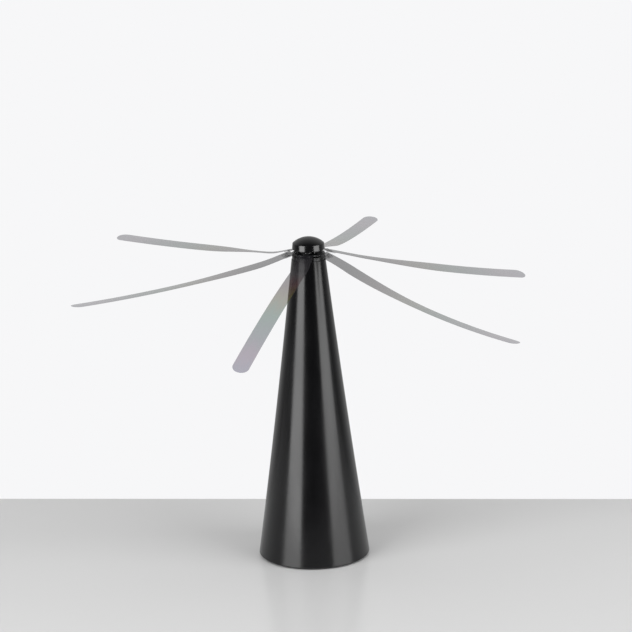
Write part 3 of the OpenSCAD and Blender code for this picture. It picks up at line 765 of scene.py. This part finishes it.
def turn_to(k):
    """Function that turns points about Z to blade k's direction."""
    a = math.radians(first_blade + (k - 1) * 360 / blade_count)
    c, s = math.cos(a), math.sin(a)
    return lambda p: p @ np.array([[c, s, 0], [-s, c, 0], [0, 0, 1]])


arch = np.linspace(0, np.pi, 13)
ear_foot = flange_top - ear_sink
ear_outline = np.concatenate([
    [(pivot_radius - barrel_radius, ear_foot), (pivot_radius + barrel_radius, ear_foot)],
    [pivot_radius, pivot_height] + barrel_radius * np.stack([np.cos(arch), np.sin(arch)], axis=-1),
])
hub_outline = rounded([
    (shaft_radius, hub_low.z, 0), (stem_radius, hub_low.z, 0.2 * MM), (stem_radius, flange_low, 0),
    (flange_radius, flange_low, 0.2 * MM), (flange_radius, flange_top - bevel_down, 0.15 * MM),
    (flange_radius - bevel_in, flange_top, 0.12 * MM), (core_radius, flange_top, 0.2 * MM),
    (core_radius, core_top, 0.2 * MM), (plug_radius, core_top, 0), (plug_radius, hub_high.z, 0.2 * MM),
    (0, hub_high.z, 0), (0, dome_low.z, 0), (shaft_radius, dome_low.z, 0),
])
hub_parts = [turned("hub_body", hub_outline)]
for k in range(1, blade_count + 1):
    for side in (-1, 1):
        y = side * (barrel_width / 2 + ear_gap + ear_width / 2)
        ear = bar("ear", ear_outline, y - ear_width / 2, y + ear_width / 2, 0.12 * MM)
        hub_parts.append(shifted(ear, turn_to(k)))
hub = joined("rotor_hub_moulding", hub_parts)
rotor_plastic = moulded_plastic("gloss_black_abs", (0.0025, 0.0025, 0.0030), 0.20, grain=0.015)
rotor_plastic.node_tree.nodes["Principled BSDF"].inputs["IOR"].default_value = 1.65
hub.data.materials.append(rotor_plastic)
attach(hub, "rotor")
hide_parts("rotor_hub")

# ---------------------------------------------------------------- hinge pins
# Six steel pins, each pressed through a pair of ears so that its blade swings.
finish(plated_metal("hinge_pin_steel", (0.60, 0.60, 0.60), 0.25), "blade_pins")

# ---------------------------------------------------------------- blade roots
# A small smoky clear moulding for each blade: a barrel on the hinge pin, an arm
# that rests on the flange, and a tab whose two riveted pegs hold the film.
rest_drop = math.radians(16.0)
arm_thick = 0.7 * MM
arm_width = 5.4 * MM
cap_step = 0.05 * MM
film_gap = 0.6 * MM
film_start = flange_radius - cap_step + film_gap
arm_inner = (film_start - pivot_radius) / math.cos(rest_drop)
tab_length = 8.0 * MM
tab_start = 1 * MM
arm_stop = 2 * MM
tab_width = 11.0 * MM
film_thick = 0.4 * MM
film_width = 13.0 * MM
peg_radius, peg_head, peg_head_thick = 0.8 * MM, 1.3 * MM, 0.3 * MM
peg_inset = 3.0 * MM
peg_side = film_width / 2 - peg_inset

smoky_plastic = moulded_plastic("smoky_clear_plastic", (0.05, 0.05, 0.053), 0.20, grain=0.03)
smoky_plastic.node_tree.nodes["Principled BSDF"].inputs["Alpha"].default_value = 0.24


def plate(name, outline, low, high, soft):
    """An outline of (x, y) carried up Z from low to high with rounded edges: a bar laid on its side."""
    return shifted(bar(name, outline, low, high, soft), lambda p: p[:, [0, 2, 1]])


def round_box(x0, x1, half, corner):
    """Points round a rectangle in plan from x0 to x1 and -half to half, with arcs at its corners."""
    corners = [(x0, -half, corner), (x1, -half, corner), (x1, half, corner), (x0, half, corner)]
    return rounded(corners, steps=4)


def to_arm(k):
    """Function that carries points from an arm's own frame, at its hinge, to its place on the hub."""
    c, s = math.cos(rest_drop), math.sin(rest_drop)
    droop = np.array([[c, 0, -s], [0, 1, 0], [s, 0, c]])
    return lambda p: turn_to(k)(p @ droop + [pivot_radius, 0, pivot_height])


film_top = arm_thick / 2 + film_thick
peg_top = film_top + peg_head_thick
peg_outline = rounded([
    (0, 0, 0), (peg_radius, 0, 0), (peg_radius, film_top, 0), (peg_head, film_top, 0.08 * MM),
    (peg_head, peg_top, 0.2 * MM), (0, peg_top, 0),
])
around = np.linspace(0, 2 * np.pi, 32, endpoint=False)
barrel_outline = np.stack([barrel_radius * np.cos(around), barrel_radius * np.sin(around)], axis=-1)
for k in range(1, blade_count + 1):
    parts = [
        bar("barrel", barrel_outline, -barrel_width / 2, barrel_width / 2, 0.15 * MM),
        plate("arm", round_box(0, arm_inner + tab_length - arm_stop, arm_width / 2, 0.3 * MM),
              -arm_thick / 2, arm_thick / 2, 0.1 * MM),
        plate("tab", round_box(arm_inner + tab_start, arm_inner + tab_length, tab_width / 2, 1.2 * MM),
              -arm_thick / 2, arm_thick / 2, 0.12 * MM),
    ]
    for side in (-1, 1):
        peg = turned("peg", peg_outline, closed=False, segments=24)
        parts.append(shifted(peg, lambda p, y=side * peg_side: p + [arm_inner + tab_length / 2, y, 0]))
    root = shifted(joined(f"blade_arm_{k}", parts), to_arm(k))
    root.data.materials.append(smoky_plastic)
    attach(root, f"blade_{k}")
    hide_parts(f"blade_root_{k}")

# ---------------------------------------------------------------- blade films
# Six soft strips cut from smoky clear film with rounded tips. Spinning flings
# them out, and each bends and twists a little in its own way past its tab.
film_length = 186.0 * MM
straight_past_tab = 5 * MM
straight_length = tab_length + straight_past_tab
bend_length = 17.0 * MM
inner_slope = [15, 12, 5, 10, 3, 21]
tip_slope = [10, -6, -1, 1, 27, 9]
side_bend = [15, -22, 11, 8, -20, 18]
front_blade = 5
root_twist = [-1, 14, -9, 3, 0, -2]
tip_twist = [-16, -6, 8, -4, 4, 8]
root_twist_run = [14, 34, 40, 85]
tip_twist_start, tip_twist_run = 30, 75
camber_depth, camber_run = 0.35 * MM, 20 * MM
row_crowding = 1.35
film_share, edge_share = 0.9, 0.5


def film_finish(name, painted_sheen):
    """Smoky translucent film with a faint pressed pattern of dots, thinner in tone towards the tip. Its
    grey, darker near the root, shifts along it through rose, olive, teal and mauve. This is painted
    iridescent sheen, the colours that light brings out in stretched film, as strong as the second argument
    says. u on its own map is the way along it."""
    material, node, link, shader = new_material(name)
    own = node("ShaderNodeUVMap")
    own.uv_map = "UVMap"
    axes = node("ShaderNodeSeparateXYZ")
    waver = node("ShaderNodeTexNoise", Scale=5.0, Detail=2.0)
    drift = node("ShaderNodeMapRange")
    drift.inputs["To Min"].default_value = -0.12
    drift.inputs["To Max"].default_value = 0.12
    along = node("ShaderNodeMath")
    along.operation = "ADD"
    tone = node("ShaderNodeValToRGB")
    # Painted iridescent sheen: the rainbow colours that light gives stretched film, set along the strip.
    stops = [(0.0, (0.012, 0.012, 0.014)), (0.20, (0.018, 0.014, 0.018)), (0.34, (0.050, 0.016, 0.020)),
             (0.47, (0.078, 0.072, 0.014)), (0.62, (0.010, 0.088, 0.056)), (0.78, (0.026, 0.046, 0.070)),
             (0.88, (0.082, 0.030, 0.092)), (1.0, (0.036, 0.032, 0.105))]
    tone.color_ramp.elements[1].position = 1.0
    for position, _ in stops[1:-1]:
        tone.color_ramp.elements.new(position)
    for element, (position, colour) in zip(tone.color_ramp.elements, stops):
        grey = sum(colour) / 3
        element.position = position
        element.color = (*[grey + painted_sheen * (c - grey) for c in colour], 1)
    grid = node("ShaderNodeMapping")
    grid.inputs["Scale"].default_value = (93.0, 7.0, 1.0)
    dots = node("ShaderNodeTexVoronoi", Scale=1.0, Randomness=0.25)
    pressed = node("ShaderNodeMapRange")
    pressed.inputs["From Min"].default_value = 0.22
    pressed.inputs["From Max"].default_value = 0.34
    pressed.inputs["To Min"].default_value = 0.14
    pressed.inputs["To Max"].default_value = 0.26
    bump = node("ShaderNodeBump", Strength=0.12, Distance=0.05 * MM)
    density = node("ShaderNodeMapRange")
    density.inputs["To Min"].default_value = 0.47
    density.inputs["To Max"].default_value = 0.35
    link(own.outputs["UV"], axes.inputs[0])
    link(axes.outputs["X"], density.inputs["Value"])
    link(density.outputs["Result"], shader.inputs["Alpha"])
    link(own.outputs["UV"], waver.inputs["Vector"])
    link(waver.outputs["Fac"], drift.inputs["Value"])
    link(axes.outputs["X"], along.inputs[0])
    link(drift.outputs["Result"], along.inputs[1])
    link(along.outputs["Value"], tone.inputs["Fac"])
    link(tone.outputs["Color"], shader.inputs["Base Color"])
    link(own.outputs["UV"], grid.inputs["Vector"])
    link(grid.outputs["Vector"], dots.inputs["Vector"])
    link(dots.outputs["Distance"], pressed.inputs["Value"])
    link(pressed.outputs["Result"], shader.inputs["Roughness"])
    link(dots.outputs["Distance"], bump.inputs["Height"])
    link(bump.outputs["Normal"], shader.inputs["Normal"])
    shader.inputs["IOR"].default_value = 1.46
    shader.inputs["Specular IOR Level"].default_value = 0.15
    return material


def eased(t):
    """Softens a share that runs from 0 to 1: t^2 (3 - 2 t)."""
    return t * t * (3 - 2 * t)


def film(k, rows=150, columns=9):
    """A thin closed strip. Its line starts on the tab and falls with a slope that is the arm's over the
    straight part, then blends to the inner slope and on to the tip slope. Seen from above it bends aside by
    the side bend times the square of the way along. Across the line the strip is turned by its twist and
    bowed by a shallow camber, and its half width is constant but for a half circle at the tip."""
    s = film_length * (1 - (1 - np.linspace(0, 1, rows)) ** row_crowding)
    free = straight_length + bend_length
    inner, tip = math.radians(inner_slope[k - 1]), math.radians(tip_slope[k - 1])
    slope = np.interp(s, [0, straight_length, free, film_length], [rest_drop, rest_drop, inner, tip])
    step, mid = np.diff(s), (slope[1:] + slope[:-1]) / 2
    lift = arm_thick / 2 + film_thick / 2
    x = pivot_radius + arm_inner * math.cos(rest_drop) + lift * math.sin(rest_drop)
    z = pivot_height - arm_inner * math.sin(rest_drop) + lift * math.cos(rest_drop)
    x = x + np.concatenate([[0], np.cumsum(step * np.cos(mid))])
    z = z - np.concatenate([[0], np.cumsum(step * np.sin(mid))])
    bend_start = np.interp(straight_length, s, x)
    way = np.clip((x - bend_start) / (x[-1] - bend_start), 0, 1)
    y = side_bend[k - 1] * MM * way ** 2
    aside = 2 * side_bend[k - 1] * MM * way / (x[-1] - bend_start)

    root_share = eased(np.interp(s / MM, root_twist_run, [0, 1, 1, 0]))
    tip_share = eased(np.clip((s / MM - tip_twist_start) / tip_twist_run, 0, 1))
    twist = np.radians(root_twist[k - 1] * root_share + tip_twist[k - 1] * tip_share)[:, None]
    level = np.stack([-aside, 1 + 0 * x, aside * np.tan(slope)], axis=-1)
    level /= np.linalg.norm(level, axis=1, keepdims=True)
    normal = np.stack([np.sin(slope), 0 * x, np.cos(slope)], axis=-1)
    across = np.cos(twist) * level - np.sin(twist) * normal
    upward = np.cos(twist) * normal + np.sin(twist) * level

    round_tip = np.clip((s - film_length + film_width / 2) / (film_width / 2), 0, 1)[:, None]
    half = film_width / 2 * np.sqrt(1 - round_tip ** 2)
    v = np.cos(np.linspace(0, np.pi, columns))
    v = np.concatenate([v, -v])
    at_edge = np.abs(v) > 0.999
    face = np.repeat([0.5, -0.5], columns) * film_thick * film_share * np.where(at_edge, edge_share, 1)
    bowed = np.clip((s - straight_length) / camber_run, 0, 1)[:, None]
    camber = -camber_depth * bowed * (v * 2 * half / film_width) ** 2
    rise = face * np.sqrt(1 - round_tip ** 4) + camber
    line = np.stack([x, y, z], axis=-1)[:, None]
    points = line + across[:, None] * (half * v)[..., None] + upward[:, None] * rise[..., None]
    root_end = np.repeat(line[:1], 2 * columns, axis=1)
    points = turn_to(k)(np.concatenate([root_end, points]))
    along = np.concatenate([[0], s]) / film_length
    return grid_piece(f"film_strip_{k}", points, around=True, mapped=(along, v))


# Every strip gets a faint painted iridescent sheen in its base colour, and the front strip a strong one.
faint_sheen_film, strong_sheen_film = film_finish("smoky_film", 0.4), film_finish("smoky_film_strong_painted_sheen", 1.0)
for k in range(1, blade_count + 1):
    strip = film(k)
    strip.data.materials.append(strong_sheen_film if k == front_blade else faint_sheen_film)
    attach(strip, f"blade_{k}")
    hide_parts(f"blade_film_{k}")

# ---------------------------------------------------------------- dome cap
# A glossy black cap pressed on the hub's core over the hinges, with a slightly
# drafted side, a soft upper edge and a shallow domed top.
cap_radius = dome_high.x
cap_draft = 0.35 * MM
cap_wall = 1.6 * MM
cap_tube = 1.4 * MM
dome_inset = 1.2 * MM
dome_height = 5.0 * MM
side_top = dome_high.z - dome_height
top_radius = cap_radius - cap_draft
dome_curve = (top_radius ** 2 + dome_height ** 2) / (2 * dome_height)
dome_centre = dome_high.z - dome_curve
tube_radius = plug_radius + cap_tube


def dome(radius, start, end, steps):
    """Part of the dome's arc between two distances from the axis: z = centre + sqrt(radius^2 - r^2)."""
    r = np.linspace(start, end, steps)
    return [(a, dome_centre + math.sqrt(radius ** 2 - a ** 2), 0) for a in r]


cap_outline = rounded(
    [(cap_radius - cap_wall, dome_low.z, 0.15 * MM), (cap_radius, dome_low.z, 0.25 * MM),
     (top_radius, side_top, 0.75 * MM)]
    + dome(dome_curve, top_radius - dome_inset, 0, 24)
    + dome(dome_curve - cap_wall, 0, plug_radius, 6)
    + [(plug_radius, core_top, 0.1 * MM), (tube_radius, core_top, 0.1 * MM)]
    + dome(dome_curve - cap_wall, tube_radius, top_radius - cap_wall, 8)
)
cap = turned("dome_cap_moulding", cap_outline)
cap.data.materials.append(rotor_plastic)
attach(cap, "rotor")
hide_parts("dome_cap")
